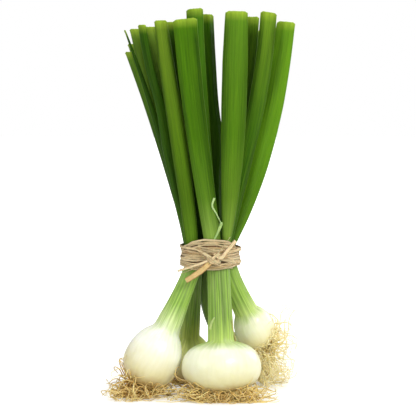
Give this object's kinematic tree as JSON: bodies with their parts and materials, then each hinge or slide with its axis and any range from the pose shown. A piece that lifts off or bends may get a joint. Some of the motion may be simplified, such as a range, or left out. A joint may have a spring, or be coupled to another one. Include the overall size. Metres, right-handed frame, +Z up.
{
  "type": "spring onion bunch",
  "caption": "Bunch of fresh spring onions tied with raffia, standing on white bulbs and fibrous roots, with trimmed hollow green leaves fanning out above the tie.",
  "frame": {"origin": "on the ground, under the middle of the whole bunch's box", "axes": "+Z up, towards the cut leaf tops; -Y towards the front, where the largest bulb and the knot are; +X to the right as seen from the front"},
  "size_m": [0.1284, 0.0956, 0.249],
  "materials": {
    "bulb_skin": "satin",
    "leaf_green": "satin",
    "root_fibre": "matte",
    "raffia": "matte"
  },
  "bodies": {
    "root": {"front_bulb": "bulb_skin", "left_bulb": "bulb_skin", "right_bulb": "bulb_skin", "back_left_bulb": "bulb_skin", "back_right_bulb": "bulb_skin", "front_leaf_1": "leaf_green", "front_leaf_2": "leaf_green", "front_leaf_3": "leaf_green", "front_leaf_4": "leaf_green", "left_leaf_1": "leaf_green", "left_leaf_2": "leaf_green", "left_leaf_3": "leaf_green", "left_leaf_4": "leaf_green", "right_leaf_1": "leaf_green", "right_leaf_2": "leaf_green", "right_leaf_3": "leaf_green", "right_leaf_4": "leaf_green", "back_left_leaf_1": "leaf_green", "back_left_leaf_2": "leaf_green", "back_left_leaf_3": "leaf_green", "back_left_leaf_4": "leaf_green", "back_right_leaf_1": "leaf_green", "back_right_leaf_2": "leaf_green", "back_right_leaf_3": "leaf_green", "front_roots": "root_fibre", "left_roots": "root_fibre", "right_roots": "root_fibre", "back_left_roots": "root_fibre", "back_right_roots": "root_fibre", "raffia_wrap_1": "raffia", "raffia_wrap_2": "raffia", "raffia_wrap_3": "raffia", "raffia_knot": "raffia", "raffia_tail_up": "raffia", "raffia_tail_low": "raffia", "raffia_tail_side": "raffia"}
  },
  "joints": []
}
